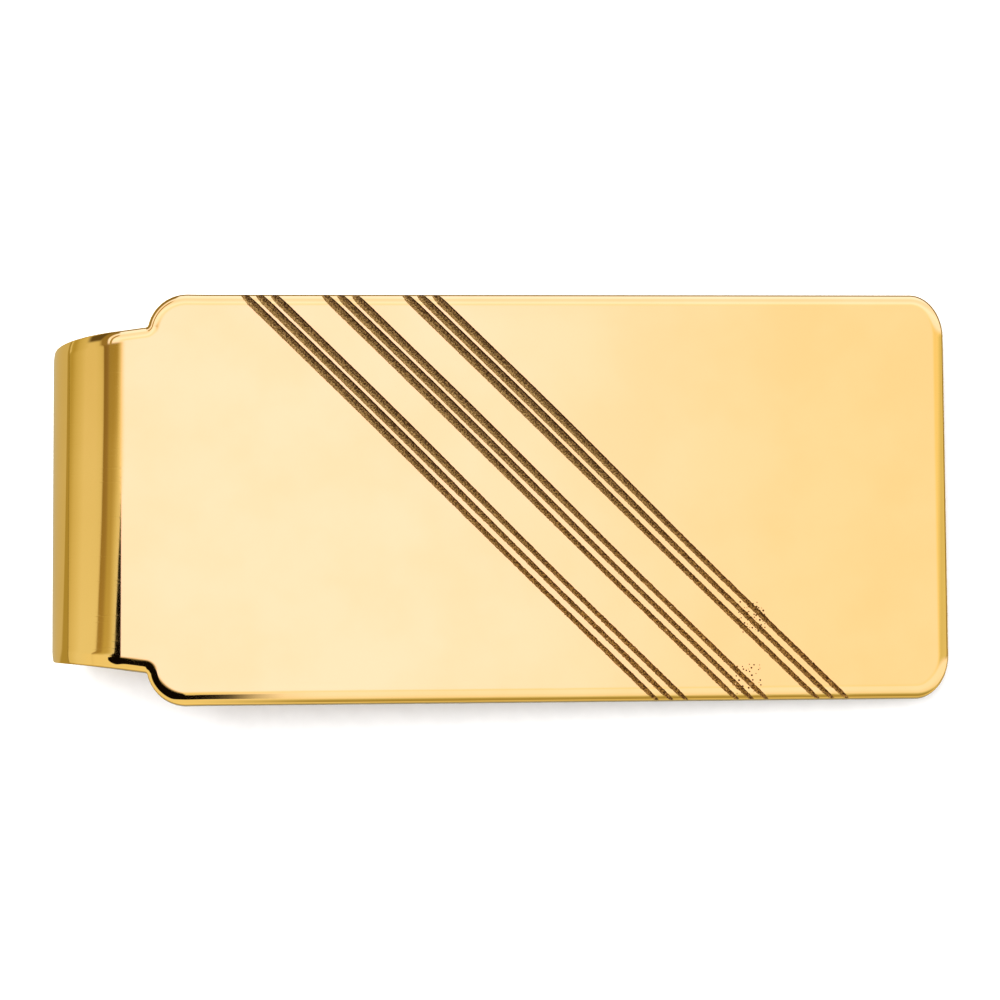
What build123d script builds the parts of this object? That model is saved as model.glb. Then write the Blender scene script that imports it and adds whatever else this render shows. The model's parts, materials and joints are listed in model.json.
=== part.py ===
from build123d import *
import math
import os

# A folded money clip: one strip of spring brass with a wide engraved front plate, a neck that
# curls round a U-bend, and a narrowing tongue that comes back under the plate to grip the notes.
# The strip is drawn in the plate's own frame: U along the plate from the shoulders to the open
# end, V across it, W up out of its polished face. seat() then lays it down as it rests on a
# table, on the bend and on the tongue's tip, with the plate up. Sizes are in millimetres.

# Sheet
SHEET = 1.0
OUTER_BEND_RADIUS = 4.3

# Front plate
PLATE_LENGTH = 48.2
PLATE_HALF_WIDTH = 12.5
PLATE_END_HALF_WIDTH = 12.25
SHOULDER_STEP = 2.0
SHOULDER_RADIUS = 2.4
END_CORNER_LENGTH = 2.0
END_CORNER_WIDTH = 2.6

# Neck, bend and tongue: one strip that narrows evenly along its path
NECK_LENGTH = 1.7
NECK_HALF_WIDTH = PLATE_HALF_WIDTH - SHOULDER_STEP
TAPER = 0.133
GRIP_REACH = 38.0
GRIP_GAP = 0.1
CREST_RADIUS = 8.0
TIP_ANGLE = 18.0
TIP_LENGTH = 4.0
FLEX_REACH = 12.0
FACE_POINT_FROM_END = 8.0
FACE_POINT_ACROSS = 4.0
SEAM = 0.01

# Engraved lines that slant across the plate, in three groups of three
GROOVE_GROUPS = 3
GROOVES_PER_GROUP = 3
GROUP_PITCH = 4.86
GROOVE_PITCH = 0.89
FIRST_GROOVE_MIDDLE = 18.2
GROOVE_ANGLE = -44.7
GROOVE_WIDTH = 0.34
GROOVE_DEPTH = 0.12

# Sizes that follow from those above
INNER_BEND_RADIUS = OUTER_BEND_RADIUS - SHEET
MIDDLE_BEND_RADIUS = OUTER_BEND_RADIUS - SHEET / 2
WIDEST_HALF = PLATE_HALF_WIDTH + 1.0
BEND_CENTRE = (-NECK_LENGTH, -OUTER_BEND_RADIUS)
CREST_CENTRE = (GRIP_REACH - NECK_LENGTH, -SHEET - GRIP_GAP - CREST_RADIUS)


def polar(centre, radius, degrees):
    """The point at a radius and an angle from a centre, in the U-W plane."""
    angle = math.radians(degrees)
    return centre[0] + radius * math.cos(angle), centre[1] + radius * math.sin(angle)


def strip_half_width(path):
    """Half the strip's width at a distance along it from the shoulders."""
    return NECK_HALF_WIDTH - TAPER * path


# The tongue's inner face runs straight from the bend's inner circle to the crest's circle, and
# touches one on its underside and the other on its upper side.
crest_u = CREST_CENTRE[0] - BEND_CENTRE[0]
crest_w = CREST_CENTRE[1] - BEND_CENTRE[1]
crest_distance = math.hypot(crest_u, crest_w)
both_radii = INNER_BEND_RADIUS + CREST_RADIUS
TONGUE_ANGLE = math.degrees(math.atan2(crest_w, crest_u) + math.asin(both_radii / crest_distance))
TONGUE_STRAIGHT = math.sqrt(crest_distance**2 - both_radii**2)

# How far along the strip each zone starts
BEND_PATH_START = NECK_LENGTH
TONGUE_PATH_START = BEND_PATH_START + MIDDLE_BEND_RADIUS * math.radians(180 + TONGUE_ANGLE)
CREST_PATH_START = TONGUE_PATH_START + TONGUE_STRAIGHT
CREST_PATH = (CREST_RADIUS - SHEET / 2) * math.radians(TONGUE_ANGLE + TIP_ANGLE)
PATH_END = CREST_PATH_START + CREST_PATH + TIP_LENGTH
TIP_ROUND_RADIUS = strip_half_width(PATH_END)

# The zones' inner and outer corners in the U-W plane
TONGUE_START_ANGLE = 270 + TONGUE_ANGLE
CREST_START_ANGLE = 90 + TONGUE_ANGLE
CREST_END_ANGLE = 90 - TIP_ANGLE
TONGUE_START_INNER = polar(BEND_CENTRE, INNER_BEND_RADIUS, TONGUE_START_ANGLE)
TONGUE_START_OUTER = polar(BEND_CENTRE, OUTER_BEND_RADIUS, TONGUE_START_ANGLE)
CREST_START_INNER = polar(CREST_CENTRE, CREST_RADIUS, CREST_START_ANGLE)
CREST_END_INNER = polar(CREST_CENTRE, CREST_RADIUS, CREST_END_ANGLE)
CREST_END_OUTER = polar(CREST_CENTRE, CREST_RADIUS - SHEET, CREST_END_ANGLE)
TIP_END_INNER = polar(CREST_END_INNER, TIP_LENGTH, -TIP_ANGLE)
TIP_END_OUTER = polar(CREST_END_OUTER, TIP_LENGTH, -TIP_ANGLE)

# The surface that the clip rests on touches the bend's outer circle and the tip's lower edge
tip_u = TIP_END_OUTER[0] - BEND_CENTRE[0]
tip_w = TIP_END_OUTER[1] - BEND_CENTRE[1]
tip_distance = math.hypot(tip_u, tip_w)
REST_ANGLE = math.degrees(math.atan2(tip_w, tip_u) + math.asin(OUTER_BEND_RADIUS / tip_distance))

# The clip's length as it rests, from the bend to the plate's upper edge at the open end
rest_turn = math.radians(REST_ANGLE)
OPEN_END_REACH = (PLATE_LENGTH - BEND_CENTRE[0]) * math.cos(rest_turn)
OPEN_END_REACH += OUTER_BEND_RADIUS * math.sin(rest_turn)
BEND_CENTRE_X = OUTER_BEND_RADIUS - (OUTER_BEND_RADIUS + OPEN_END_REACH) / 2


def seat(solid):
    """Lay a solid of the plate's frame down, with the row's origin under the clip's middle."""
    about_bend = Pos(-BEND_CENTRE[0], 0, -BEND_CENTRE[1]) * solid
    return Pos(BEND_CENTRE_X, 0, OUTER_BEND_RADIUS) * Rot(0, REST_ANGLE, 0) * about_bend


def from_profile(*edges):
    """A closed outline in the U-W plane, carried across more than the clip's width."""
    return extrude(Plane.XZ * make_face(edges), WIDEST_HALF, both=True)


def polygon(*points):
    """A face with straight edges between its corners."""
    return make_face(Polyline(*points, close=True).edges())


def tapered(length, path, thickness):
    """A flat stretch of the narrowing strip, under the plane Z = 0, that starts at X = 0."""
    start = strip_half_width(path)
    end = strip_half_width(path + length)
    face = polygon((0, -start), (length, -end), (length, end), (0, start))
    return Pos(0, 0, -thickness) * extrude(face, thickness)


def plate_outline():
    """Half the plate in plan: neck, shoulder, side and rounded corner."""
    lift = math.degrees(math.asin(1 - SHOULDER_STEP / SHOULDER_RADIUS))
    shoulder_reach = SHOULDER_RADIUS * math.cos(math.radians(lift))
    shoulder_centre = (shoulder_reach, PLATE_HALF_WIDTH - SHOULDER_RADIUS)
    corner_centre = (PLATE_LENGTH - END_CORNER_LENGTH, PLATE_END_HALF_WIDTH - END_CORNER_WIDTH)
    shoulder = CenterArc(shoulder_centre, SHOULDER_RADIUS, 90, 90 - lift)
    corner = EllipticalCenterArc(
        corner_centre, END_CORNER_LENGTH, END_CORNER_WIDTH, start_angle=0, arc_size=90
    )
    side = Line(shoulder @ 0, corner @ 1)
    open_end = Polyline(corner @ 0, (PLATE_LENGTH, 0), (BEND_CENTRE[0], 0))
    neck = Polyline(
        (BEND_CENTRE[0], 0), (BEND_CENTRE[0], strip_half_width(NECK_LENGTH)), shoulder @ 1
    )
    return [*neck.edges(), shoulder, side, corner, *open_end.edges()]


def groove_cutters():
    """One long bar for each engraved line."""
    bar = Box(4 * PLATE_HALF_WIDTH, GROOVE_WIDTH, 2 * GROOVE_DEPTH)
    cutters = []
    for group in range(GROOVE_GROUPS):
        for line in range(GROOVES_PER_GROUP):
            middle = FIRST_GROOVE_MIDDLE + group * GROUP_PITCH + line * GROOVE_PITCH
            cutters.append(Pos(middle, 0, 0) * Rot(0, 0, GROOVE_ANGLE) * bar)
    return cutters


def front_plate():
    """The engraved plate, its shoulders and the short neck that leads into the bend."""
    half = Pos(0, 0, -SHEET) * extrude(make_face(plate_outline()), SHEET)
    return half + mirror(half, Plane.XZ) - groove_cutters()


def bend_sides():
    """The space between the bend's side faces, which close in evenly with the angle."""
    sweep = 180 + TONGUE_ANGLE
    overrun = 4
    sections = 13
    rungs = []
    for index in range(sections):
        turn = (sweep + 2 * overrun) * index / (sections - 1) - overrun
        half = strip_half_width(NECK_LENGTH + MIDDLE_BEND_RADIUS * math.radians(turn))
        low_u, low_w = polar(BEND_CENTRE, INNER_BEND_RADIUS - SHEET, 90 + turn)
        high_u, high_w = polar(BEND_CENTRE, OUTER_BEND_RADIUS + SHEET, 90 + turn)
        rungs.append(
            polygon(
                (low_u, -half, low_w), (high_u, -half, high_w),
                (high_u, half, high_w), (low_u, half, low_w),
            )
        )
    return loft(rungs)


def spring_bend():
    """The U-bend: a ring sector between its two winding side faces."""
    outer = CenterArc(BEND_CENTRE, OUTER_BEND_RADIUS, 90, 180 + TONGUE_ANGLE)
    inner = CenterArc(BEND_CENTRE, INNER_BEND_RADIUS, 90, 180 + TONGUE_ANGLE)
    ring = from_profile(outer, Line(outer @ 1, inner @ 1), inner, Line(inner @ 0, outer @ 0))
    return ring & bend_sides()


def along_tongue(distance):
    """The place on the tongue's inner face at a distance from the bend, with X along it."""
    u, w = polar(TONGUE_START_INNER, distance, TONGUE_ANGLE)
    return Pos(u, 0, w) * Rot(0, -TONGUE_ANGLE, 0)


def tongue_root():
    """The tongue's wide start, from the bend to the line where the tongue mostly flexes."""
    return along_tongue(SEAM) * tapered(FLEX_REACH - SEAM, TONGUE_PATH_START + SEAM, SHEET)


def tongue_blade():
    """The tongue's long narrowing part, from the flex line to the crest."""
    start = FLEX_REACH + SEAM
    length = TONGUE_STRAIGHT - start
    return along_tongue(start) * tapered(length, TONGUE_PATH_START + start, SHEET)


def grip_tip():
    """The rounded crest that presses on the notes, and the tip that turns away from the plate."""
    upper = CenterArc(CREST_CENTRE, CREST_RADIUS, CREST_END_ANGLE, TONGUE_ANGLE + TIP_ANGLE)
    lower = CenterArc(CREST_CENTRE, CREST_RADIUS - SHEET, CREST_END_ANGLE, TONGUE_ANGLE + TIP_ANGLE)
    tip = Polyline(upper @ 0, TIP_END_INNER, TIP_END_OUTER, lower @ 0)
    curl = from_profile(upper, *tip.edges(), lower, Line(lower @ 1, upper @ 1))
    return curl & extrude(make_face(tip_outline()), -2 * CREST_RADIUS)


def tip_outline():
    """The crest and tip in plan: two closing sides and a round end."""
    start = CREST_START_INNER[0] - SHEET
    start_half = strip_half_width(CREST_PATH_START)
    end = TIP_END_INNER[0] - TIP_ROUND_RADIUS
    sides = Polyline(
        (end, TIP_ROUND_RADIUS), (start, start_half), (start, -start_half), (end, -TIP_ROUND_RADIUS)
    )
    return [*sides.edges(), CenterArc((end, 0), TIP_ROUND_RADIUS, -90, 180)]


NODES = {
    "front_plate": front_plate,
    "spring_bend": spring_bend,
    "tongue_root": tongue_root,
    "tongue_blade": tongue_blade,
    "grip_tip": grip_tip,
}

os.makedirs("parts", exist_ok=True)
for name, make in NODES.items():
    export_step(seat(make()), f"parts/{name}.step")

# Where the two flexing lines and the plate's face lie once the clip is seated
bend_axis = seat(Pos(BEND_CENTRE[0], 0, BEND_CENTRE[1])).position
flex_axis = seat(along_tongue(FLEX_REACH) * Pos(0, 0, -SHEET)).position
face_point = seat(Pos(PLATE_LENGTH - FACE_POINT_FROM_END, FACE_POINT_ACROSS, 0)).position
print("bend axis", bend_axis, "flex axis", flex_axis, "face point", face_point)
print("plate slope", REST_ANGLE, "tongue slope", TONGUE_ANGLE, "tip half width", TIP_ROUND_RADIUS)
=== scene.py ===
import json
import math

import bmesh
import bpy
import numpy as np
from mathutils import Matrix, Vector, kdtree


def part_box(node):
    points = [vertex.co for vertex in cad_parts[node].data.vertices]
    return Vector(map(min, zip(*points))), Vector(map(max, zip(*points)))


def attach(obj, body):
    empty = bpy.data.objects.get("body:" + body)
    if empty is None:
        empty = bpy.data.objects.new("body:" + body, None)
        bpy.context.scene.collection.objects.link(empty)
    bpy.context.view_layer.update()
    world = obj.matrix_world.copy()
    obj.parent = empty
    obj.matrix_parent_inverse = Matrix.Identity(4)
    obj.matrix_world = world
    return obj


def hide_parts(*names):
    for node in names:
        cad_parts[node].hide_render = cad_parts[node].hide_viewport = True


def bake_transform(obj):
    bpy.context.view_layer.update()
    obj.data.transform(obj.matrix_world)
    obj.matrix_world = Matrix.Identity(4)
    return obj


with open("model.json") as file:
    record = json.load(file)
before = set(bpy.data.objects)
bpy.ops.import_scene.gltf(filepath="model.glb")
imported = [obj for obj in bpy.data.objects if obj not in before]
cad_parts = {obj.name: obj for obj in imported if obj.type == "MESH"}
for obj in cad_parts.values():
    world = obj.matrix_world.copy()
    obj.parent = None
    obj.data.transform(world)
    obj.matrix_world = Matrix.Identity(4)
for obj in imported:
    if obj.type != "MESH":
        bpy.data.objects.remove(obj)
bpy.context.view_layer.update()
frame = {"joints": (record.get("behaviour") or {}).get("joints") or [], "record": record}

MM = 0.001
DEGREE = math.pi / 180

# The strip
SHEET = 1.0 * MM
NECK_LENGTH = 1.7 * MM
PLATE_LENGTH = 48.2 * MM
PLATE_HALF_WIDTH = 12.5 * MM
PLATE_END_HALF_WIDTH = 12.25 * MM
SHOULDER_STEP = 2.0 * MM
SHOULDER_RADIUS = 2.4 * MM
SHOULDER_FILLET = 0.2 * MM
END_CORNER_LENGTH = 2.0 * MM
END_CORNER_WIDTH = 2.6 * MM
TAPER = 0.133
GRIP_REACH = 38.0 * MM
GRIP_GAP = 0.1 * MM
CREST_RADIUS = 8.0 * MM
TIP_ANGLE = 18.0 * DEGREE
TIP_LENGTH = 4.0 * MM

# The polished edge: a slow roll-off, a small round, the flank and the underside's round
ROLL_INSET = 0.95 * MM
ROLL_SLOPE = 12.0 * DEGREE
EDGE_RADIUS = 0.13 * MM
UNDER_RADIUS = 0.15 * MM
EDGE_STEPS = 10

# The neck eases into the bend, and the plate's own piece ends a little before that
PLATE_PIECE_END = 0.5 * MM
BEND_EASE = 0.7 * MM

# The engraved lines
GROOVE_GROUPS = 3
GROOVES_PER_GROUP = 3
GROUP_PITCH = 4.86 * MM
GROOVE_PITCH = 0.89 * MM
FIRST_GROOVE_MIDDLE = 18.2 * MM
GROOVE_ANGLE = -44.7 * DEGREE
GROOVE_LENGTH = 42.0 * MM
GROOVE_WIDTH = 0.31 * MM
GROOVE_FLOOR_WIDTH = 0.13 * MM
GROOVE_LEAN = 0.055 * MM
GROOVE_DEPTH = 0.12 * MM
GROOVE_RAGGEDNESS = 0.011 * MM
GROOVE_WIDENING = 0.55
GROOVE_DRIFT = 0.15 * MM
CUTTER_HEADROOM = 0.02 * MM

# Stray nicks where the engraving tool chattered, as (along, across) patches on the plate
NICK_PATCHES = ((36.4 * MM, -7.3 * MM), (36.2 * MM, -11.2 * MM))
NICK_PATCH_LENGTH = 1.6 * MM
NICK_PATCH_WIDTH = 2.0 * MM
NICK_SPACING = 0.115 * MM
NICK_RADIUS = 0.06 * MM
NICK_SCALES = (0.45, 1.3)
NICK_DENSITY = 4.0e7
NICK_SEED = 7

# How finely the outlines and the strip are divided: arcs by angle in radians, the rest by length
FILLET_ARC_STEP = 0.12
SHOULDER_ARC_STEP = 0.06
CORNER_ARC_STEP = 0.05
TIP_ARC_STEP = 0.07
LAST_TIP_ANGLE = 0.05
SIDE_STEP = 1.2 * MM
OPEN_END_STEP = 1.0 * MM
OPEN_END_GAP = 0.3 * MM
BEND_STEP = 0.1 * MM
TONGUE_STEP = 0.5 * MM
CREST_STEP = 0.15 * MM
TIP_STEP = 0.2 * MM
CUTTER_STEP = 0.08 * MM
NUDGE = 0.01 * MM

# The polished finish
WAVE_HEIGHT = 0.004 * MM
HAIRLINE_DEPTH = 0.0001 * MM

# The grain of the engraved metal, and which way across the lines their walls face
GRAIN_HEIGHT = 0.05 * MM
ACROSS_LINES = (0.703, 0.711, 0.0)

# The frame gives the bend's centre and radius, the plate's slope and the tongue's flex line
joints = {joint["name"]: joint for joint in frame["joints"]}
mounts = {mount["name"]: mount for mount in frame["record"]["mounts"]}
BEND_AXIS = Vector(joints["bend_spring"]["pos_m"])
FACE_NORMAL = Vector(mounts["plate_face"]["axis"])
REST_ANGLE = math.atan2(FACE_NORMAL.x, FACE_NORMAL.z)
OUTER_RADIUS = BEND_AXIS.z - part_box("spring_bend")[0].z
INNER_RADIUS = OUTER_RADIUS - SHEET
MIDDLE_RADIUS = OUTER_RADIUS - SHEET / 2
NECK_HALF_WIDTH = PLATE_HALF_WIDTH - SHOULDER_STEP

# The plate's own frame has X along the plate from the shoulders and Z out of its face
SEAT = (
    Matrix.Translation(BEND_AXIS)
    @ Matrix.Rotation(REST_ANGLE, 4, "Y")
    @ Matrix.Translation((NECK_LENGTH, 0, OUTER_RADIUS))
)
BEND_CENTRE = np.array((-NECK_LENGTH, -OUTER_RADIUS))
CREST_CENTRE = np.array((GRIP_REACH - NECK_LENGTH, -SHEET - GRIP_GAP - CREST_RADIUS))

# The tongue runs along the line that touches the bend's inside and the crest's top
crest_offset = CREST_CENTRE - BEND_CENTRE
crest_distance = math.hypot(*crest_offset)
both_radii = INNER_RADIUS + CREST_RADIUS
TONGUE_ANGLE = math.atan2(crest_offset[1], crest_offset[0]) + math.asin(both_radii / crest_distance)
TONGUE_STRAIGHT = math.sqrt(crest_distance**2 - both_radii**2)

# Distances along the strip, counted from the shoulders along the sheet's middle
TONGUE_START = NECK_LENGTH + MIDDLE_RADIUS * (math.pi + TONGUE_ANGLE)
CREST_START = TONGUE_START + TONGUE_STRAIGHT
CREST_MIDDLE_RADIUS = CREST_RADIUS - SHEET / 2
TIP_START = CREST_START + CREST_MIDDLE_RADIUS * (TONGUE_ANGLE + TIP_ANGLE)
STRIP_END = TIP_START + TIP_LENGTH
TIP_ROUND_RADIUS = NECK_HALF_WIDTH - TAPER * STRIP_END
TIP_ROUND_START = STRIP_END - TIP_ROUND_RADIUS


def direction(angle):
    return np.array((math.cos(angle), math.sin(angle)))


def half_width(path):
    if path <= CREST_START:
        return NECK_HALF_WIDTH - TAPER * path
    share = (path - CREST_START) / (TIP_ROUND_START - CREST_START)
    start = NECK_HALF_WIDTH - TAPER * CREST_START
    return start + share * (TIP_ROUND_RADIUS - start)


def spacing(start, end, step):
    """Evenly spread distances from start to end, about a step apart."""
    count = max(2, round(abs(end - start) / step) + 1)
    return [start + (end - start) * i / (count - 1) for i in range(count)]


def station(path):
    """Where the strip's outer face is at a distance along it, and which way it faces."""
    if path <= TONGUE_START:
        into_bend = path - NECK_LENGTH
        facing = direction(math.pi / 2 + max(0.0, into_bend) / MIDDLE_RADIUS)
        point = BEND_CENTRE + OUTER_RADIUS * facing + np.array((max(0.0, -into_bend), 0.0))
        if abs(into_bend) < BEND_EASE:
            turn = (into_bend + BEND_EASE) ** 2 / (4 * BEND_EASE * MIDDLE_RADIUS)
            facing = direction(math.pi / 2 + turn)
        return point, facing
    facing = direction(1.5 * math.pi + TONGUE_ANGLE)
    if path <= CREST_START:
        start = BEND_CENTRE + OUTER_RADIUS * facing
        return start + (path - TONGUE_START) * direction(TONGUE_ANGLE), facing
    turn = min((path - CREST_START) / CREST_MIDDLE_RADIUS, TONGUE_ANGLE + TIP_ANGLE)
    facing = direction(1.5 * math.pi + TONGUE_ANGLE - turn)
    point = CREST_CENTRE - (CREST_RADIUS - SHEET) * facing
    if path > TIP_START:
        point = point + (path - TIP_START) * direction(-TIP_ANGLE)
    return point, facing


def on_strip(path, across, depth):
    """A point of the flat strip as it lies in the folded clip, in the plate's frame."""
    point, facing = station(path)
    along, up = point - depth * facing
    return np.array((along, across, up))


def on_plate(along, across, depth):
    return np.array((along, across, -depth))


def edge_profile():
    """The polished edge from face to underside, as (inset, depth, turn of its normal)."""
    slope = math.tan(ROLL_SLOPE)
    rolled = EDGE_RADIUS * (1 - math.sin(ROLL_SLOPE))
    fall = slope * (ROLL_INSET - rolled) / 3
    points = []
    for step in range(EDGE_STEPS):
        share = step / EDGE_STEPS
        inset = ROLL_INSET + share * (rolled - ROLL_INSET)
        points.append((inset, fall * share**3, math.atan(slope * share**2)))
    for step in range(EDGE_STEPS + 1):
        turn = ROLL_SLOPE + (math.pi / 2 - ROLL_SLOPE) * step / EDGE_STEPS
        inset = EDGE_RADIUS * (1 - math.sin(turn))
        points.append((inset, fall + EDGE_RADIUS * (math.cos(ROLL_SLOPE) - math.cos(turn)), turn))
    for step in range(EDGE_STEPS + 1):
        turn = math.pi / 2 * (1 + step / EDGE_STEPS)
        inset = UNDER_RADIUS * (1 - math.sin(turn))
        points.append((inset, SHEET - UNDER_RADIUS * (1 + math.cos(turn)), turn))
    return points


EDGE_PROFILE = edge_profile()


def sheet_mesh(name, outline, place, broad_faces, open_end):
    """A closed sheet between an outline and its mirror image, with a polished edge all along.

    The outline's points are (along, across, outward along, outward across). Each gives a ring of
    points round the sheet. The faces are broad where a flat sheet needs only one face a side. The
    first ring is capped, and the last too, unless the edge runs on across an open end.
    """
    side = len(EDGE_PROFILE)
    ring = 2 * side
    points, normals = [], []
    for along, across, out_along, out_across in outline:
        for mirror, profile in ((1, EDGE_PROFILE), (-1, EDGE_PROFILE[::-1])):
            for inset, depth, turn in profile:
                a = along - inset * out_along
                b = across - inset * out_across
                here = place(a, b, depth)
                up = place(a, b, depth - MM) - here
                ahead = place(a + NUDGE, b, depth) - here
                ahead = ahead / np.linalg.norm(ahead)
                outward = out_along * ahead + np.array((0, out_across, 0))
                outward = outward / np.linalg.norm(outward)
                normal = math.cos(turn) * up / np.linalg.norm(up) + math.sin(turn) * outward
                points.append(here * (1, mirror, 1))
                normals.append(normal * (1, mirror, 1))
    rings = len(outline)
    faces = []
    for start in range(0, (rings - 1) * ring, ring):
        for spot in range(ring):
            if broad_faces and spot in (side - 1, ring - 1):
                continue
            after = (spot + 1) % ring
            faces.append((start + spot, start + after, start + ring + after, start + ring + spot))
    if broad_faces:
        for near, far in ((0, ring - 1), (side, side - 1)):
            there = [start + near for start in range(0, rings * ring, ring)]
            back = [start + far for start in range(0, rings * ring, ring)]
            faces.append(there + back[::-1])
    last = (rings - 1) * ring
    if open_end:
        for spot in range(side - 1):
            far = ring - 1 - spot
            faces.append((last + spot, last + spot + 1, last + far - 1, last + far))
    sharp = [len(faces)]
    faces.append(tuple(range(ring)))
    if not open_end:
        sharp.append(len(faces))
        faces.append(tuple(last + spot for spot in range(ring)))
    mesh = bpy.data.meshes.new(name)
    mesh.from_pydata([SEAT @ Vector(point) for point in points], [], faces)
    mesh.update()
    return mesh, normals, sharp


def face_outwards(mesh):
    work = bmesh.new()
    work.from_mesh(mesh)
    bmesh.ops.recalc_face_normals(work, faces=work.faces)
    work.to_mesh(mesh)
    work.free()


def shade_true(mesh, normals, flat):
    """Gives every face corner the shape's own normal, except on the faces that are flat."""
    turned = SEAT.to_3x3()
    true = []
    mesh.shade_smooth()
    for polygon in mesh.polygons:
        for loop in polygon.loop_indices:
            vertex = mesh.loops[loop].vertex_index
            if polygon.index in flat:
                true.append(polygon.normal)
            else:
                true.append(turned @ Vector(normals[vertex]))
    mesh.normals_split_custom_set(true)


def object_of(name, mesh):
    piece = bpy.data.objects.new(name, mesh)
    bpy.context.scene.collection.objects.link(piece)
    return piece


def side_points(paths):
    """The strip's tapering side, inset square across so that its ends stay straight cuts."""
    return [(path, half_width(path), 0.0, math.hypot(1, TAPER)) for path in paths]


def arc_points(centre, radii, start, end, step):
    """Points on an ellipse's arc with their outward normals, angles in radians."""
    points = []
    for angle in spacing(start, end, step):
        cosine, sine = math.cos(angle), math.sin(angle)
        normal = np.array((cosine / radii[0], sine / radii[1]))
        normal = normal / np.linalg.norm(normal)
        points.append((centre[0] + radii[0] * cosine, centre[1] + radii[1] * sine, *normal))
    return points


def plate_outline():
    """The plate's upper half in plan, from the cut at the bend round to the open end's middle."""
    slant = math.atan(TAPER)
    neck = [(-PLATE_PIECE_END, half_width(PLATE_PIECE_END), 0.0, math.hypot(1, TAPER))]
    lift = math.asin(1 - SHOULDER_STEP / SHOULDER_RADIUS)
    centre = np.array((SHOULDER_RADIUS * math.cos(lift), PLATE_HALF_WIDTH - SHOULDER_RADIUS))
    # a small round where the neck meets the shoulder, which touches both
    along_neck = direction(slant)
    above_neck = np.array((0, NECK_HALF_WIDTH)) + SHOULDER_FILLET * direction(slant + math.pi / 2)
    gap = above_neck - centre
    reach = gap @ along_neck
    touching = (SHOULDER_RADIUS + SHOULDER_FILLET) ** 2
    back = reach + math.sqrt(reach**2 - gap @ gap + touching)
    fillet_centre = above_neck - back * along_neck
    meeting = math.atan2(*(centre - fillet_centre)[::-1])
    fillet = []
    for angle in spacing(-math.pi / 2 + slant, meeting, FILLET_ARC_STEP):
        u, v = fillet_centre + SHOULDER_FILLET * direction(angle)
        fillet.append((u, v, -math.cos(angle), -math.sin(angle)))
    shoulder = arc_points(
        centre, (SHOULDER_RADIUS,) * 2, math.pi + meeting, math.pi / 2, SHOULDER_ARC_STEP
    )[1:]
    edge_slant = math.atan((PLATE_HALF_WIDTH - PLATE_END_HALF_WIDTH) / PLATE_LENGTH)
    edge = []
    corner_start = PLATE_LENGTH - END_CORNER_LENGTH
    for along in spacing(shoulder[-1][0], corner_start, SIDE_STEP)[1:-1]:
        across = PLATE_HALF_WIDTH - along * math.tan(edge_slant)
        edge.append((along, across, math.sin(edge_slant), math.cos(edge_slant)))
    corner_across = PLATE_HALF_WIDTH - corner_start * math.tan(edge_slant) - END_CORNER_WIDTH
    corner = arc_points(
        (corner_start, corner_across), (END_CORNER_LENGTH, END_CORNER_WIDTH),
        math.pi / 2, 0, CORNER_ARC_STEP,
    )
    end = []
    for across in spacing(corner_across, OPEN_END_GAP, OPEN_END_STEP)[1:]:
        end.append((PLATE_LENGTH, across, 1.0, 0.0))
    return neck + fillet + shoulder + edge + corner + end


def tip_points():
    """The tip's half-round end in plan, as far as just beside its middle."""
    return arc_points(
        (TIP_ROUND_START, 0), (TIP_ROUND_RADIUS,) * 2, math.pi / 2, LAST_TIP_ANGLE, TIP_ARC_STEP
    )


def strip_piece(name, outline, open_end):
    mesh, normals, sharp = sheet_mesh(name, outline, on_strip, False, open_end)
    face_outwards(mesh)
    shade_true(mesh, normals, set(sharp))
    return object_of(name, mesh)


class Link:
    """A socket on its way through a node tree. Arithmetic on links adds Math nodes."""

    def __init__(self, tree, socket=None):
        self.tree = tree
        self.socket = socket

    def node(self, kind, settings=None, inputs=None, output=0):
        """Adds any node: its settings first, then the values or links of its sockets."""
        made = self.tree.nodes.new(kind)
        for name, value in (settings or {}).items():
            if name == "stops":
                set_stops(made.color_ramp, value)
            else:
                setattr(made, name, value)
        for name, value in (inputs or {}).items():
            socket = made.inputs[name]
            if isinstance(value, Link):
                self.tree.links.new(value.socket, socket)
            else:
                socket.default_value = value
        return Link(self.tree, made.outputs[output]) if made.outputs else Link(self.tree)

    def other(self, output):
        return Link(self.tree, self.socket.node.outputs[output])

    def maths(self, operation, *values):
        return self.node("ShaderNodeMath", {"operation": operation}, dict(enumerate(values)))

    def apply(self, operation, *others):
        """A Math operation with this link as its first value."""
        return self.maths(operation, self, *others)

    def distance(self, other, here, there):
        """How far the point (this link, the other) is from a point."""
        squares = (self - here) * (self - here) + (other - there) * (other - there)
        return squares.apply("SQRT")

    def __add__(self, value):
        return self.maths("ADD", self, value)

    def __radd__(self, value):
        return self.maths("ADD", value, self)

    def __sub__(self, value):
        return self.maths("SUBTRACT", self, value)

    def __rsub__(self, value):
        return self.maths("SUBTRACT", value, self)

    def __mul__(self, value):
        return self.maths("MULTIPLY", self, value)

    def __rmul__(self, value):
        return self.maths("MULTIPLY", value, self)

    def __truediv__(self, value):
        return self.maths("DIVIDE", self, value)

    def rise(self, start, end):
        """Nought before start, one after end, and smooth between."""
        inputs = {"Value": self, "From Min": start, "From Max": end}
        return self.node("ShaderNodeMapRange", {"interpolation_type": "SMOOTHSTEP"}, inputs)

    def between(self, low, high, soft):
        return self.rise(low - soft, low + soft) * (1 - self.rise(high - soft, high + soft))

    def over(self, below, colour):
        """This colour or the given one laid over another, as much as this mask says."""
        settings = {"data_type": "RGBA", "clamp_factor": True}
        return self.node("ShaderNodeMix", settings, {0: self, 6: below, 7: colour}, 2)

    def mixed(self, low, high):
        """A number that goes from low to high as this mask does."""
        return self * (high - low) + low


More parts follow.
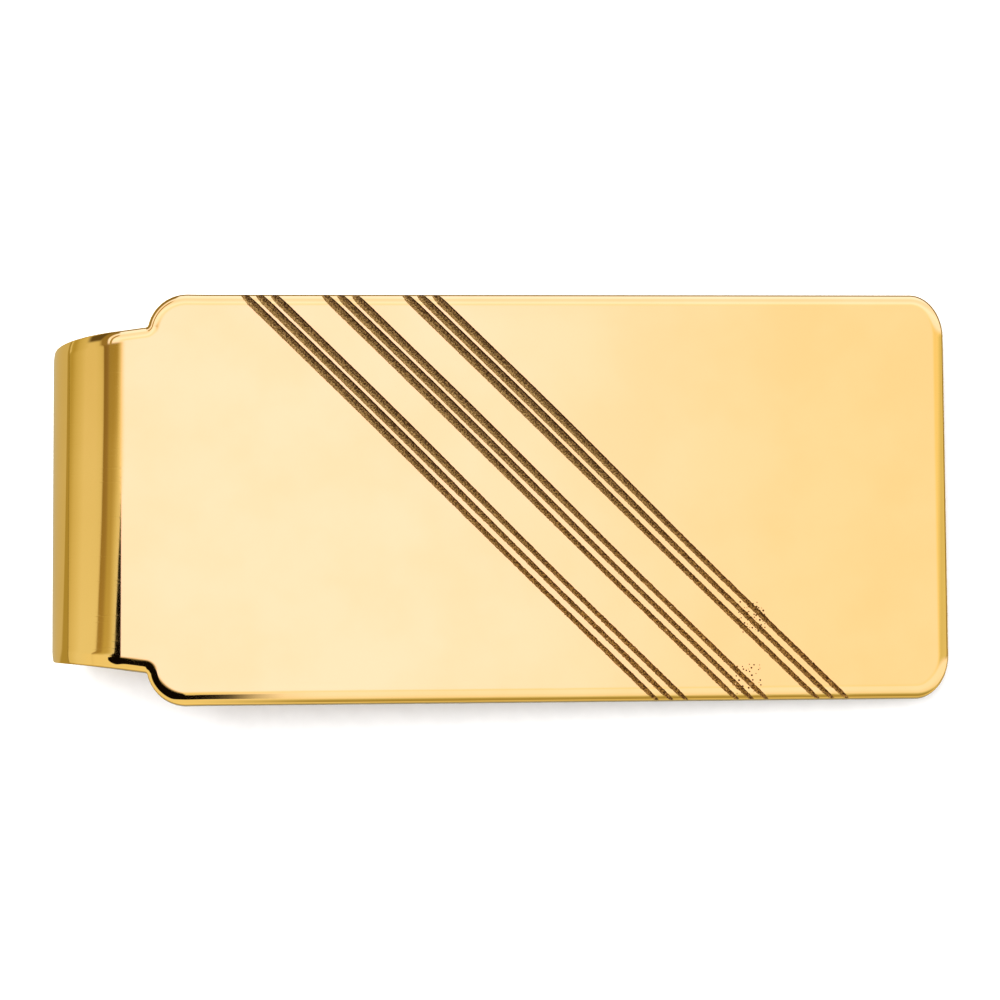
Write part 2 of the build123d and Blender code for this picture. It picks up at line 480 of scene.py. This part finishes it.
def set_stops(ramp, stops):
    while len(ramp.elements) > 1:
        ramp.elements.remove(ramp.elements[-1])
    for index, (place, colour) in enumerate(stops):
        element = ramp.elements[0] if index == 0 else ramp.elements.new(place)
        element.position = place
        element.color = colour


def rgb(red, green, blue):
    return (red, green, blue, 1.0)


def new_material(name):
    material = bpy.data.materials.new(name)
    material.use_nodes = True
    material.node_tree.nodes.clear()
    return material, Link(material.node_tree)


def scratches(start, place, turn, stretch):
    """Noise drawn out into fine lines that run at an angle."""
    stretched = start.node(
        "ShaderNodeMapping", None, {"Vector": place, "Rotation": (0, 0, turn), "Scale": stretch}
    )
    return start.node("ShaderNodeTexNoise", None, {"Vector": stretched, "Scale": 1.0, "Detail": 2.0})


def polished_gold():
    """Bright gold plate: hairlines and a faint waviness left by the polishing mop."""
    material, start = new_material("polished_gold")
    place = start.node("ShaderNodeTexCoord", output="Object")
    tone = start.node(
        "ShaderNodeTexNoise", None, {"Vector": place, "Scale": 160.0, "Detail": 3.0, "Roughness": 0.55}
    )
    colour = tone.rise(0.3, 0.7).over(rgb(0.97, 0.615, 0.185), rgb(1.0, 0.64, 0.205))
    hair = scratches(start, place, 0.35, (300.0, 9000.0, 300.0))
    cross_hair = scratches(start, place, -1.1, (240.0, 7000.0, 240.0))
    hairlines = hair.rise(0.62, 0.74) + cross_hair.rise(0.64, 0.76)
    haze = start.node("ShaderNodeTexNoise", None, {"Vector": place, "Scale": 420.0, "Detail": 4.0})
    roughness = haze.rise(0.35, 0.7) * 0.015 + hairlines * 0.012 + 0.03
    wave = start.node(
        "ShaderNodeTexNoise", None, {"Vector": place, "Scale": 190.0, "Detail": 1.0, "Roughness": 0.4}
    )
    height = wave * WAVE_HEIGHT + hairlines * HAIRLINE_DEPTH
    bump = start.node("ShaderNodeBump", None, {"Height": height, "Strength": 1.0, "Distance": 1.0})
    finish = start.node(
        "ShaderNodeBsdfPrincipled", None,
        {"Base Color": colour, "Metallic": 1.0, "Roughness": roughness, "Normal": bump},
    )
    start.node("ShaderNodeOutputMaterial", None, {"Surface": finish})
    return material


def engraved_gold(name, dark, light, low_dark, low_light):
    """Metal torn by the engraving tool: matt, mixed by its grain between a dark and a light colour, and
    browner low down. With other colours it makes the grooves' walls, whose light and dark are painted
    light and painted shade.
    """
    material, start = new_material(name)
    place = start.node("ShaderNodeTexCoord", output="Object")
    grain = start.node(
        "ShaderNodeTexNoise", None, {"Vector": place, "Scale": 11000.0, "Detail": 2.0, "Roughness": 0.6}
    )
    crumbs = grain.rise(0.4, 0.62)
    apart = start.node("ShaderNodeSeparateXYZ", None, {0: place})
    # a second pair of colours takes over towards the plate's lower side; on the upper-right walls this
    # fades the painted shade out
    upper = apart.other("Y").rise(-9 * MM, 6 * MM)
    colour = upper.over(crumbs.over(low_dark, low_light), crumbs.over(dark, light))
    height = grain * GRAIN_HEIGHT
    bump = start.node("ShaderNodeBump", None, {"Height": height, "Strength": 1.0, "Distance": 1.0})
    finish = start.node(
        "ShaderNodeBsdfPrincipled", None,
        {"Base Color": colour, "Metallic": 0.85, "Roughness": crumbs.mixed(0.6, 0.4), "Normal": bump},
    )
    start.node("ShaderNodeOutputMaterial", None, {"Surface": finish})
    return material


def engraving_tree():
    """Geometry nodes that sweep one cutter, repeat it in groups and scatter nicks beside it."""
    tree = bpy.data.node_groups.new("engraving_cutters", "GeometryNodeTree")
    kinds = {
        "Groups": "Int", "Lines in a group": "Int", "Group pitch": "Float", "Line pitch": "Float",
        "First line": "Float", "Slant": "Float", "Length": "Float", "Width": "Float",
        "Floor width": "Float", "Lean": "Float", "Depth": "Float", "Headroom": "Float",
        "Raggedness": "Float", "Widening": "Float", "Drift": "Float",
        "First patch": "Vector", "Second patch": "Vector", "Patch length": "Float",
        "Patch width": "Float", "Nick spacing": "Float", "Nick radius": "Float", "Seed": "Int",
        "Floor finish": "Material", "Painted light wall": "Material", "Painted shade wall": "Material",
    }
    identifiers = {}
    for name, kind in kinds.items():
        socket = tree.interface.new_socket(name, in_out="INPUT", socket_type="NodeSocket" + kind)
        identifiers[name] = socket.identifier
    tree.interface.new_socket("Cutters", in_out="OUTPUT", socket_type="NodeSocketGeometry")
    start = Link(tree)
    given = start.node("NodeGroupInput")
    size = {name: given.other(name) for name in kinds}

    # one cutter: a leaning trough, wider towards its upper end and drifting a little off its line
    tall = size["Depth"] + size["Headroom"]
    spread = (size["Width"] - size["Floor width"]) * tall / size["Depth"] + size["Floor width"]
    half = size["Length"] * 0.5
    ends = [start.node("ShaderNodeCombineXYZ", None, {0: x}) for x in (half * -1, half)]
    line = start.node("GeometryNodeCurvePrimitiveLine", None, {"Start": ends[0], "End": ends[1]})
    line = start.node(
        "GeometryNodeResampleCurve", None, {"Curve": line, "Count": size["Length"] / CUTTER_STEP}
    )
    profile = start.node(
        "GeometryNodeCurvePrimitiveQuadrilateral", {"mode": "TRAPEZOID"},
        {
            "Height": tall, "Bottom Width": spread, "Top Width": size["Floor width"],
            "Offset": size["Lean"] * -1,
        },
    )
    profile = start.node("GeometryNodeSubdivideCurve", None, {"Curve": profile, "Cuts": 1})
    cutter = start.node(
        "GeometryNodeCurveToMesh", None, {"Curve": line, "Profile Curve": profile, "Fill Caps": True}
    )
    place = start.node("GeometryNodeInputPosition")
    apart = start.node("ShaderNodeSeparateXYZ", None, {0: place})
    upper_end = 1 - apart.rise(-10 * MM, 9 * MM)
    wider = apart.other("Y") * upper_end * size["Widening"]
    sideways = start.node("ShaderNodeCombineXYZ", None, {1: wider + (upper_end - 0.4) * size["Drift"]})
    cutter = start.node("GeometryNodeSetPosition", None, {"Geometry": cutter, "Offset": sideways})

    # its copies, in groups along the plate
    index = start.node("GeometryNodeInputIndex")
    group = (index / size["Lines in a group"] + 0.001).apply("FLOOR")
    within = index - group * size["Lines in a group"]
    along = size["First line"] + group * size["Group pitch"] + within * size["Line pitch"]
    up = (size["Headroom"] - size["Depth"]) * 0.5
    spot = start.node("ShaderNodeCombineXYZ", None, {0: along, 2: up})
    count = size["Groups"] * size["Lines in a group"]
    spots = start.node("GeometryNodePoints", None, {"Count": count, "Position": spot})
    turned = start.node("ShaderNodeCombineXYZ", None, {2: size["Slant"]})
    rows = start.node(
        "GeometryNodeInstanceOnPoints", None, {"Points": spots, "Instance": cutter, "Rotation": turned}
    )
    rows = start.node("GeometryNodeRealizeInstances", None, {"Geometry": rows})
    noise = start.node("ShaderNodeTexNoise", None, {"Scale": 8000.0, "Detail": 1.0}, "Color")
    shift = start.node(
        "ShaderNodeVectorMath", {"operation": "SUBTRACT"}, {0: noise, 1: (0.5, 0.5, 0.5)}
    )
    across = start.node("ShaderNodeSeparateXYZ", None, {0: place}).other("Y")
    ragged = ((1 - across.rise(-9 * MM, 5 * MM)) * 1.3 + 1) * size["Raggedness"] * 4
    shift = start.node(
        "ShaderNodeVectorMath", {"operation": "SCALE"}, {0: shift, "Scale": ragged}
    )
    rows = start.node("GeometryNodeSetPosition", None, {"Geometry": rows, "Offset": shift})

    # the nicks, scattered over two patches
    patch = start.node(
        "GeometryNodeMeshGrid", None,
        {
            "Size X": size["Patch length"], "Size Y": size["Patch width"],
            "Vertices X": 2, "Vertices Y": 2,
        },
    )
    patches = start.node("GeometryNodeJoinGeometry")
    for name in ("First patch", "Second patch"):
        moved = start.node(
            "GeometryNodeTransform", None, {"Geometry": patch, "Translation": size[name]}
        )
        tree.links.new(moved.socket, patches.socket.node.inputs[0])
    clumps = start.node("ShaderNodeTexNoise", None, {"Scale": 1500.0, "Detail": 1.0})
    scattered = start.node(
        "GeometryNodeDistributePointsOnFaces", {"distribute_method": "POISSON"},
        {
            "Mesh": patches, "Distance Min": size["Nick spacing"], "Density Max": NICK_DENSITY,
            "Density Factor": clumps.rise(0.25, 0.5), "Seed": size["Seed"],
        },
    )
    nick = start.node(
        "GeometryNodeMeshIcoSphere", None, {"Radius": size["Nick radius"], "Subdivisions": 1}
    )
    smallest, largest = NICK_SCALES
    scale = start.node(
        "FunctionNodeRandomValue", {"data_type": "FLOAT"},
        {"Min": smallest, "Max": largest, "Seed": size["Seed"]}, 1,
    )
    nicks = start.node(
        "GeometryNodeInstanceOnPoints", None, {"Points": scattered, "Instance": nick, "Scale": scale}
    )
    nicks = start.node("GeometryNodeRealizeInstances", None, {"Geometry": nicks})
    cutters = start.node("GeometryNodeJoinGeometry")
    for part in (nicks, rows):
        tree.links.new(part.socket, cutters.socket.node.inputs[0])
    cutters = start.node(
        "GeometryNodeSetMaterial", None, {"Geometry": cutters, "Material": size["Floor finish"]}
    )
    facing = start.node("GeometryNodeInputNormal")
    side = start.node(
        "ShaderNodeVectorMath", {"operation": "DOT_PRODUCT"}, {0: facing, 1: ACROSS_LINES}, "Value"
    )
    # by which way they face, the grooves' upper-right walls get the painted shade and their lower-left
    # walls the painted light
    walls = {
        "Painted shade wall": side.apply("GREATER_THAN", 0.45),
        "Painted light wall": side.apply("LESS_THAN", -0.3),
    }
    for finish, wall in walls.items():
        cutters = start.node(
            "GeometryNodeSetMaterial", None,
            {"Geometry": cutters, "Selection": wall, "Material": size[finish]},
        )
    start.node("NodeGroupOutput", None, {"Cutters": cutters})
    return tree, identifiers


def settle(piece):
    """Puts the piece's modifiers into its mesh."""
    bpy.context.view_layer.update()
    shape = piece.evaluated_get(bpy.context.evaluated_depsgraph_get())
    mesh = bpy.data.meshes.new_from_object(shape)
    piece.modifiers.clear()
    piece.data = mesh


def engraving_cutters(floor_finish, painted_light_wall_material, painted_shade_wall_material):
    tree, identifiers = engraving_tree()
    piece = object_of("engraving_cutters", bpy.data.meshes.new("engraving_cutters"))
    modifier = piece.modifiers.new("cutters", "NODES")
    modifier.node_group = tree
    values = {
        "Groups": GROOVE_GROUPS, "Lines in a group": GROOVES_PER_GROUP, "Group pitch": GROUP_PITCH,
        "Line pitch": GROOVE_PITCH, "First line": FIRST_GROOVE_MIDDLE, "Slant": GROOVE_ANGLE,
        "Length": GROOVE_LENGTH, "Width": GROOVE_WIDTH, "Floor width": GROOVE_FLOOR_WIDTH,
        "Lean": GROOVE_LEAN, "Depth": GROOVE_DEPTH, "Headroom": CUTTER_HEADROOM,
        "Raggedness": GROOVE_RAGGEDNESS, "Widening": GROOVE_WIDENING, "Drift": GROOVE_DRIFT,
        "First patch": (*NICK_PATCHES[0], 0.0), "Second patch": (*NICK_PATCHES[1], 0.0),
        "Patch length": NICK_PATCH_LENGTH, "Patch width": NICK_PATCH_WIDTH,
        "Nick spacing": NICK_SPACING, "Nick radius": NICK_RADIUS, "Seed": NICK_SEED,
        "Floor finish": floor_finish, "Painted light wall": painted_light_wall_material, "Painted shade wall": painted_shade_wall_material,
    }
    for name, value in values.items():
        modifier[identifiers[name]] = value
    settle(piece)
    piece.data.transform(SEAT)
    face_outwards(piece.data)
    return piece


def engraved_plate(gold, *groove_and_painted_wall_materials):
    mesh, normals, sharp = sheet_mesh("engraved_plate", plate_outline(), on_plate, True, True)
    face_outwards(mesh)
    for finish in (gold, *groove_and_painted_wall_materials):
        mesh.materials.append(finish)
    known = kdtree.KDTree(len(mesh.vertices))
    for vertex in mesh.vertices:
        known.insert(vertex.co, vertex.index)
    known.balance()
    piece = object_of("engraved_plate", mesh)
    cutters = engraving_cutters(*groove_and_painted_wall_materials)
    modifier = piece.modifiers.new("engrave", "BOOLEAN")
    modifier.operation = "DIFFERENCE"
    modifier.solver = "EXACT"
    modifier.material_mode = "TRANSFER"
    modifier.use_self = True
    modifier.object = cutters
    settle(piece)
    bpy.data.objects.remove(cutters)

    # the engraved faces and the cut at the bend are flat, and the polished ones keep their normals
    cut_end = SEAT.to_3x3() @ Vector((-1, 0, 0))
    flat = set()
    for polygon in piece.data.polygons:
        at_bend = polygon.normal.dot(cut_end) > 0.9999 and polygon.area > 5 * MM**2
        if polygon.material_index > 0 or at_bend:
            flat.add(polygon.index)
    nearest = [normals[known.find(vertex.co)[1]] for vertex in piece.data.vertices]
    shade_true(piece.data, nearest, flat)
    return piece


gold = polished_gold()
engraved = engraved_gold(
    "engraved_gold", rgb(0.075, 0.032, 0.006), rgb(0.33, 0.18, 0.05),
    rgb(0.09, 0.035, 0.004), rgb(0.46, 0.23, 0.045),
)
# the grooves' lower-left walls: a lighter gold, painted light
painted_light_wall = engraved_gold(
    "engraved_gold_painted_light", rgb(0.32, 0.17, 0.04), rgb(0.95, 0.6, 0.2),
    rgb(0.3, 0.14, 0.025), rgb(0.95, 0.55, 0.15),
)
# the grooves' upper-right walls: near black, painted shade, which gives way to brown towards the
# plate's lower side
painted_shade_wall = engraved_gold(
    "engraved_gold_painted_shade", rgb(0.015, 0.008, 0.003), rgb(0.09, 0.045, 0.012),
    rgb(0.07, 0.03, 0.004), rgb(0.5, 0.26, 0.06),
)

plate = engraved_plate(gold, engraved, painted_light_wall, painted_shade_wall)
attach(plate, "plate")
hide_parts("front_plate")

bend_paths = spacing(PLATE_PIECE_END, TONGUE_START, BEND_STEP)
bend = strip_piece("sprung_bend", side_points(bend_paths), False)
bend.data.materials.append(gold)
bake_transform(bend)
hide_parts("spring_bend")

tongue_paths = spacing(TONGUE_START, CREST_START, TONGUE_STEP)
tongue_paths += spacing(CREST_START, TIP_START, CREST_STEP)[1:]
tongue_paths += spacing(TIP_START, TIP_ROUND_START, TIP_STEP)[1:-1]
tongue = strip_piece("tapered_tongue", side_points(tongue_paths) + tip_points(), True)
tongue.data.materials.append(gold)
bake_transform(tongue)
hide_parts("tongue_root", "tongue_blade", "grip_tip")


# What the polished metal reflects, by the angle round from the plate's normal (below nought is
# towards the bend), at two heights: UPPER nearer the plate's upper long edge, LOWER nearer the other
UPPER = (
    (-160, (0.50, 0.46, 0.33)), (-104.5, (0.75, 0.73, 0.52)), (-102.5, (0.48, 0.43, 0.16)),
    (-96, (0.47, 0.41, 0.14)), (-86, (0.61, 0.57, 0.30)), (-76, (0.69, 0.66, 0.42)),
    (-66, (0.77, 0.75, 0.57)), (-50, (0.77, 0.75, 0.57)), (-41, (0.72, 0.70, 0.48)),
    (-37, (0.66, 0.62, 0.42)), (-35.3, (0.25, 0.18, 0.06)), (-30, (0.27, 0.20, 0.10)),
    (-26, (0.36, 0.30, 0.12)), (-17.5, (0.39, 0.32, 0.11)), (-14.5, (0.46, 0.40, 0.18)),
    (-12, (0.62, 0.58, 0.34)), (-7, (1.0, 0.95, 0.8)), (6, (1.0, 0.95, 0.8)),
    (12, (1.05, 1.00, 0.80)), (21, (0.74, 0.74, 0.50)), (33, (0.80, 0.80, 0.58)),
    (42, (0.34, 0.29, 0.14)), (50, (0.17, 0.13, 0.06)), (68, (0.20, 0.16, 0.08)),
    (84, (0.50, 0.45, 0.28)), (160, (0.50, 0.46, 0.33)),
)
LOWER = (
    (-160, (0.50, 0.46, 0.33)), (-104.5, (0.80, 0.79, 0.60)), (-102.5, (0.54, 0.48, 0.20)),
    (-95, (0.60, 0.55, 0.27)), (-87, (0.71, 0.68, 0.45)), (-77, (0.77, 0.76, 0.56)),
    (-65, (0.84, 0.86, 0.74)), (-40, (0.84, 0.86, 0.74)), (-37, (0.80, 0.80, 0.68)),
    (-35.3, (0.36, 0.28, 0.10)), (-28, (0.38, 0.30, 0.12)), (-23.5, (0.54, 0.48, 0.21)),
    (-17, (0.56, 0.50, 0.24)), (-13, (0.66, 0.61, 0.37)), (-10, (0.75, 0.76, 0.58)),
    (-6, (0.83, 0.86, 0.95)), (6, (0.90, 0.88, 0.75)), (12, (1.00, 0.97, 0.80)),
    (21, (0.74, 0.74, 0.50)), (33, (0.80, 0.80, 0.58)), (42, (0.34, 0.29, 0.14)),
    (50, (0.17, 0.13, 0.06)), (68, (0.20, 0.16, 0.08)), (84, (0.50, 0.45, 0.28)),
    (160, (0.50, 0.46, 0.33)),
)

# The soft box's ends, by the height in degrees, lower and higher than what the bend shows
BELOW = (
    (-40, (0.72, 0.70, 0.50)), (-32, (0.78, 0.76, 0.60)), (-22, (0.44, 0.39, 0.18)),
    (-16, (0.42, 0.37, 0.14)), (-13, (0.50, 0.48, 0.28)), (-10, (0.88, 0.92, 0.92)),
    (-7.5, (1.05, 1.07, 1.35)), (-5, (1.10, 1.12, 1.55)), (-2.4, (1.14, 1.19, 1.75)),
    (6, (1.16, 1.20, 1.85)),
)
ABOVE = (
    (9, (1.20, 1.27, 2.2)), (13, (1.20, 1.29, 2.25)), (15.5, (1.25, 1.40, 2.4)),
    (18, (1.20, 1.28, 2.2)), (20.5, (1.15, 1.17, 1.8)), (24, (1.15, 1.17, 1.85)),
    (27, (1.20, 1.38, 2.6)), (31, (1.20, 1.42, 2.7)), (42, (1.15, 1.30, 2.2)),
)

# The height that the plate's middle reflects, and two places that dark shapes are drawn round
MIDDLE_HEIGHT = 7.2
FLAG_CENTRE = (-4.0, 5.2)
CORNER_CENTRE = (-4.0, 9.2)
BLACK_FLAG = rgb(0.004, 0.003, 0.002)


def banded(start, value, stops, low, high):
    """A colour from (angle, colour) stops between two angles."""
    ramp = [((angle - low) / (high - low), rgb(*colour)) for angle, colour in stops]
    place = (value - low) / (high - low)
    return start.node("ShaderNodeValToRGB", {"stops": ramp}, {"Fac": place})


def studio_surroundings():
    """Soft boxes and dark flags all round, placed by their direction from the plate's face."""
    world = bpy.data.worlds.new("studio")
    bpy.context.scene.world = world
    world.use_nodes = True
    world.node_tree.nodes.clear()
    start = Link(world.node_tree)
    way = start.node("ShaderNodeTexCoord", output="Generated")
    turned = SEAT.to_3x3()
    parts = []
    for axis in range(3):
        part = start.node(
            "ShaderNodeVectorMath", {"operation": "DOT_PRODUCT"},
            {0: way, 1: tuple(turned.col[axis])}, "Value",
        )
        parts.append(part)
    right, up, out = parts
    height = up.apply("ARCSINE") / DEGREE
    swing = right.apply("ARCTAN2", out) / DEGREE
    near = height.apply("MAXIMUM", 4.0).apply("MINIMUM", 10.5)

    # the bands that the bend shows, leaning a little
    off_middle = near - MIDDLE_HEIGHT
    bulge = 1 - off_middle * off_middle / 4.0
    lean = off_middle * 3.3 + bulge * swing.between(-48.0, -20.0, 5.0) * 4.5
    bands = [banded(start, swing - lean, stops, -180.0, 180.0) for stops in (LOWER, UPPER)]
    higher = (near - 5.6) / 3.2
    colour = higher.over(*bands)

    # lower: the soft box's lower part, the gold dusk under it and a black flag to the left
    under = 1 - height.rise(2.5, 5.0)
    left = 1 - swing.rise(-3.0, -1.2)
    dulled = left.over(banded(start, height, BELOW, -40.0, 20.0), rgb(0.9, 0.89, 0.72))
    colour = (under * swing.between(-60.0, 60.0, 20.0)).over(colour, dulled)
    flag_top = swing.rise(-3.5, -3.0).mixed(4.9, 1.0)
    flag_left = height.rise(1.0, 3.5).mixed(-21.0, -15.5)
    reach = swing.distance(height, *FLAG_CENTRE)
    flag_reach = swing.rise(-12.0, -3.6).mixed(18.5, 13.2)
    flag = (height - flag_top).rise(0.25, -0.25) * (reach - flag_reach).rise(0.5, -0.5)
    flag = flag * (swing - flag_left).rise(-0.7, 0.7) * (1 - swing.rise(-2.5, -1.7))
    colour = flag.over(colour, BLACK_FLAG)

    # higher: cream, then dark beyond the soft box
    over_view = height.rise(9.6, 12.0) * (1 - swing.rise(30.0, 50.0)) * swing.rise(-25.0, -21.0)
    colour = over_view.over(colour, banded(start, height, ABOVE, 0.0, 90.0))
    away = swing.distance(height, *CORNER_CENTRE)
    upper_left = height.rise(9.0, 11.0) * (1 - swing.rise(-11.0, -8.0)) * swing.rise(-40.0, -30.0)
    colour = (upper_left * away.between(13.5, 16.5, 0.7)).over(colour, rgb(0.45, 0.37, 0.15))
    colour = (upper_left * away.rise(19.5, 21.5)).over(colour, rgb(0.32, 0.25, 0.10))
    rim = (1 - out.rise(0.76, 0.81)) * height.rise(14.0, 20.0) * swing.rise(-64.0, -52.0)
    colour = rim.over(colour, rgb(0.13, 0.1, 0.045))
    colour = height.rise(62.0, 78.0).over(colour, rgb(0.42, 0.37, 0.21))
    low_sides = right.apply("ABSOLUTE").rise(0.35, 0.5) * up.rise(-0.35, -0.5)
    colour = low_sides.over(colour, rgb(0.82, 0.79, 0.6))

    # the large soft box that the plate's face reflects, and the thin black edge beside it
    fully_up = height.rise(6.9, 7.7)
    edge = fully_up.mixed(-7.6, -11.6)
    share = (swing - edge) / fully_up.mixed(0.4, 7.2)
    box = share.rise(0.0, 1.0) * (1 - swing.rise(8.0, 14.0)) * height.rise(2.0, 4.6)
    box = box * (1 - height.rise(11.0, 16.0))
    tint = swing.rise(-0.5, 5.0).over(rgb(1.33, 1.30, 2.5), rgb(1.16, 1.12, 1.5))
    glow = (box * box).over(rgb(1.1, 1.06, 0.85), tint)
    colour = box.over(colour, glow)
    wedge_left = (height - 7.15) * 3.2 - 7.3
    wedge = (swing - wedge_left).rise(-0.2, 0.2) * swing.rise(-6.9, -7.3) * height.rise(7.4, 7.1)
    colour = (wedge * height.rise(3.0, 4.0)).over(colour, BLACK_FLAG)

    # matt surfaces are lit evenly
    seen = start.node("ShaderNodeLightPath", output="Is Diffuse Ray")
    colour = seen.over(colour, rgb(1.15, 1.15, 1.15))
    background = start.node("ShaderNodeBackground", None, {"Color": colour, "Strength": 1.0})
    start.node("ShaderNodeOutputWorld", None, {"Surface": background})


FLOOR_HALF = 1.5


def paper_floor():
    """White paper to the camera; in the metal it looks gold, as a painted dim tone that is darker gold
    far off to the lower left: painted shade in the reflections.
    """
    mesh = bpy.data.meshes.new("floor")
    corners = [(FLOOR_HALF * x, FLOOR_HALF * y, 0) for x, y in ((-1, -1), (1, -1), (1, 1), (-1, 1))]
    mesh.from_pydata(corners, [], [(0, 1, 2, 3)])
    material, start = new_material("white_paper")
    place = start.node("ShaderNodeTexCoord", output="Object")
    grain = start.node("ShaderNodeTexNoise", None, {"Vector": place, "Scale": 900.0, "Detail": 3.0})
    colour = grain.rise(0.3, 0.7).over(rgb(0.9, 0.9, 0.9), rgb(0.93, 0.93, 0.93))
    matt = start.node("ShaderNodeBsdfDiffuse", None, {"Color": colour})
    # what the metal reflects of the floor is painted in a dimmer tone, darker far off: painted shade
    seen = start.node("ShaderNodeLightPath", output="Is Glossy Ray")
    across = start.node("ShaderNodeSeparateXYZ", None, {0: place})
    leftward = across * -1 - across.other("Y") * 1.87
    away = start.node("ShaderNodeVectorMath", {"operation": "LENGTH"}, {0: place}, "Value")
    far = leftward.rise(0.056, 0.064).apply("MAXIMUM", away.rise(0.1, 0.14))
    tone = far.over(rgb(0.28, 0.272, 0.192), rgb(0.19, 0.166, 0.06))
    painted_reflection_shade = start.node("ShaderNodeBsdfDiffuse", None, {"Color": tone})
    both = start.node("ShaderNodeMixShader", None, {0: seen, 1: matt, 2: painted_reflection_shade})
    start.node("ShaderNodeOutputMaterial", None, {"Surface": both})
    mesh.materials.append(material)
    object_of("floor", mesh)


def soft_lamp(name, place, size, power):
    lamp = bpy.data.lights.new(name, "AREA")
    lamp.shape = "SQUARE"
    lamp.size = size
    lamp.energy = power
    light = bpy.data.objects.new(name, lamp)
    bpy.context.scene.collection.objects.link(light)
    light.location = place
    light.rotation_euler = (-Vector(place)).to_track_quat("-Z", "Y").to_euler()
    light.visible_glossy = False


# The camera looks nearly square down on the plate: angles in degrees, lens and sensor in millimetres
CAMERA_ROLL = 0.35
CAMERA_PITCH = -7.19
CAMERA_YAW = 0.72
CAMERA_PLACE = (-21.268 * MM, 0.081 * MM, -300 * MM)
LENS = 179.136
SENSOR_WIDTH = 36.0
NEAREST = 0.01
FARTHEST = 10.0


def main_camera():
    turn = Matrix.Rotation(CAMERA_ROLL * DEGREE, 4, "Z")
    turn = turn @ Matrix.Rotation(CAMERA_PITCH * DEGREE, 4, "X")
    turn = turn @ Matrix.Rotation(CAMERA_YAW * DEGREE, 4, "Y")
    camera = bpy.data.objects.new("camera", bpy.data.cameras.new("camera"))
    bpy.context.scene.collection.objects.link(camera)
    camera.matrix_world = SEAT @ (Matrix.Translation(CAMERA_PLACE) @ turn).inverted()
    camera.data.sensor_width = SENSOR_WIDTH
    camera.data.lens = LENS
    camera.data.clip_start = NEAREST
    camera.data.clip_end = FARTHEST
    bpy.context.scene.camera = camera


studio_surroundings()
paper_floor()
soft_lamp("overhead", (-0.05, 0.12, 0.6), 0.5, 5.0)
main_camera()
bpy.context.scene.view_settings.view_transform = "Standard"
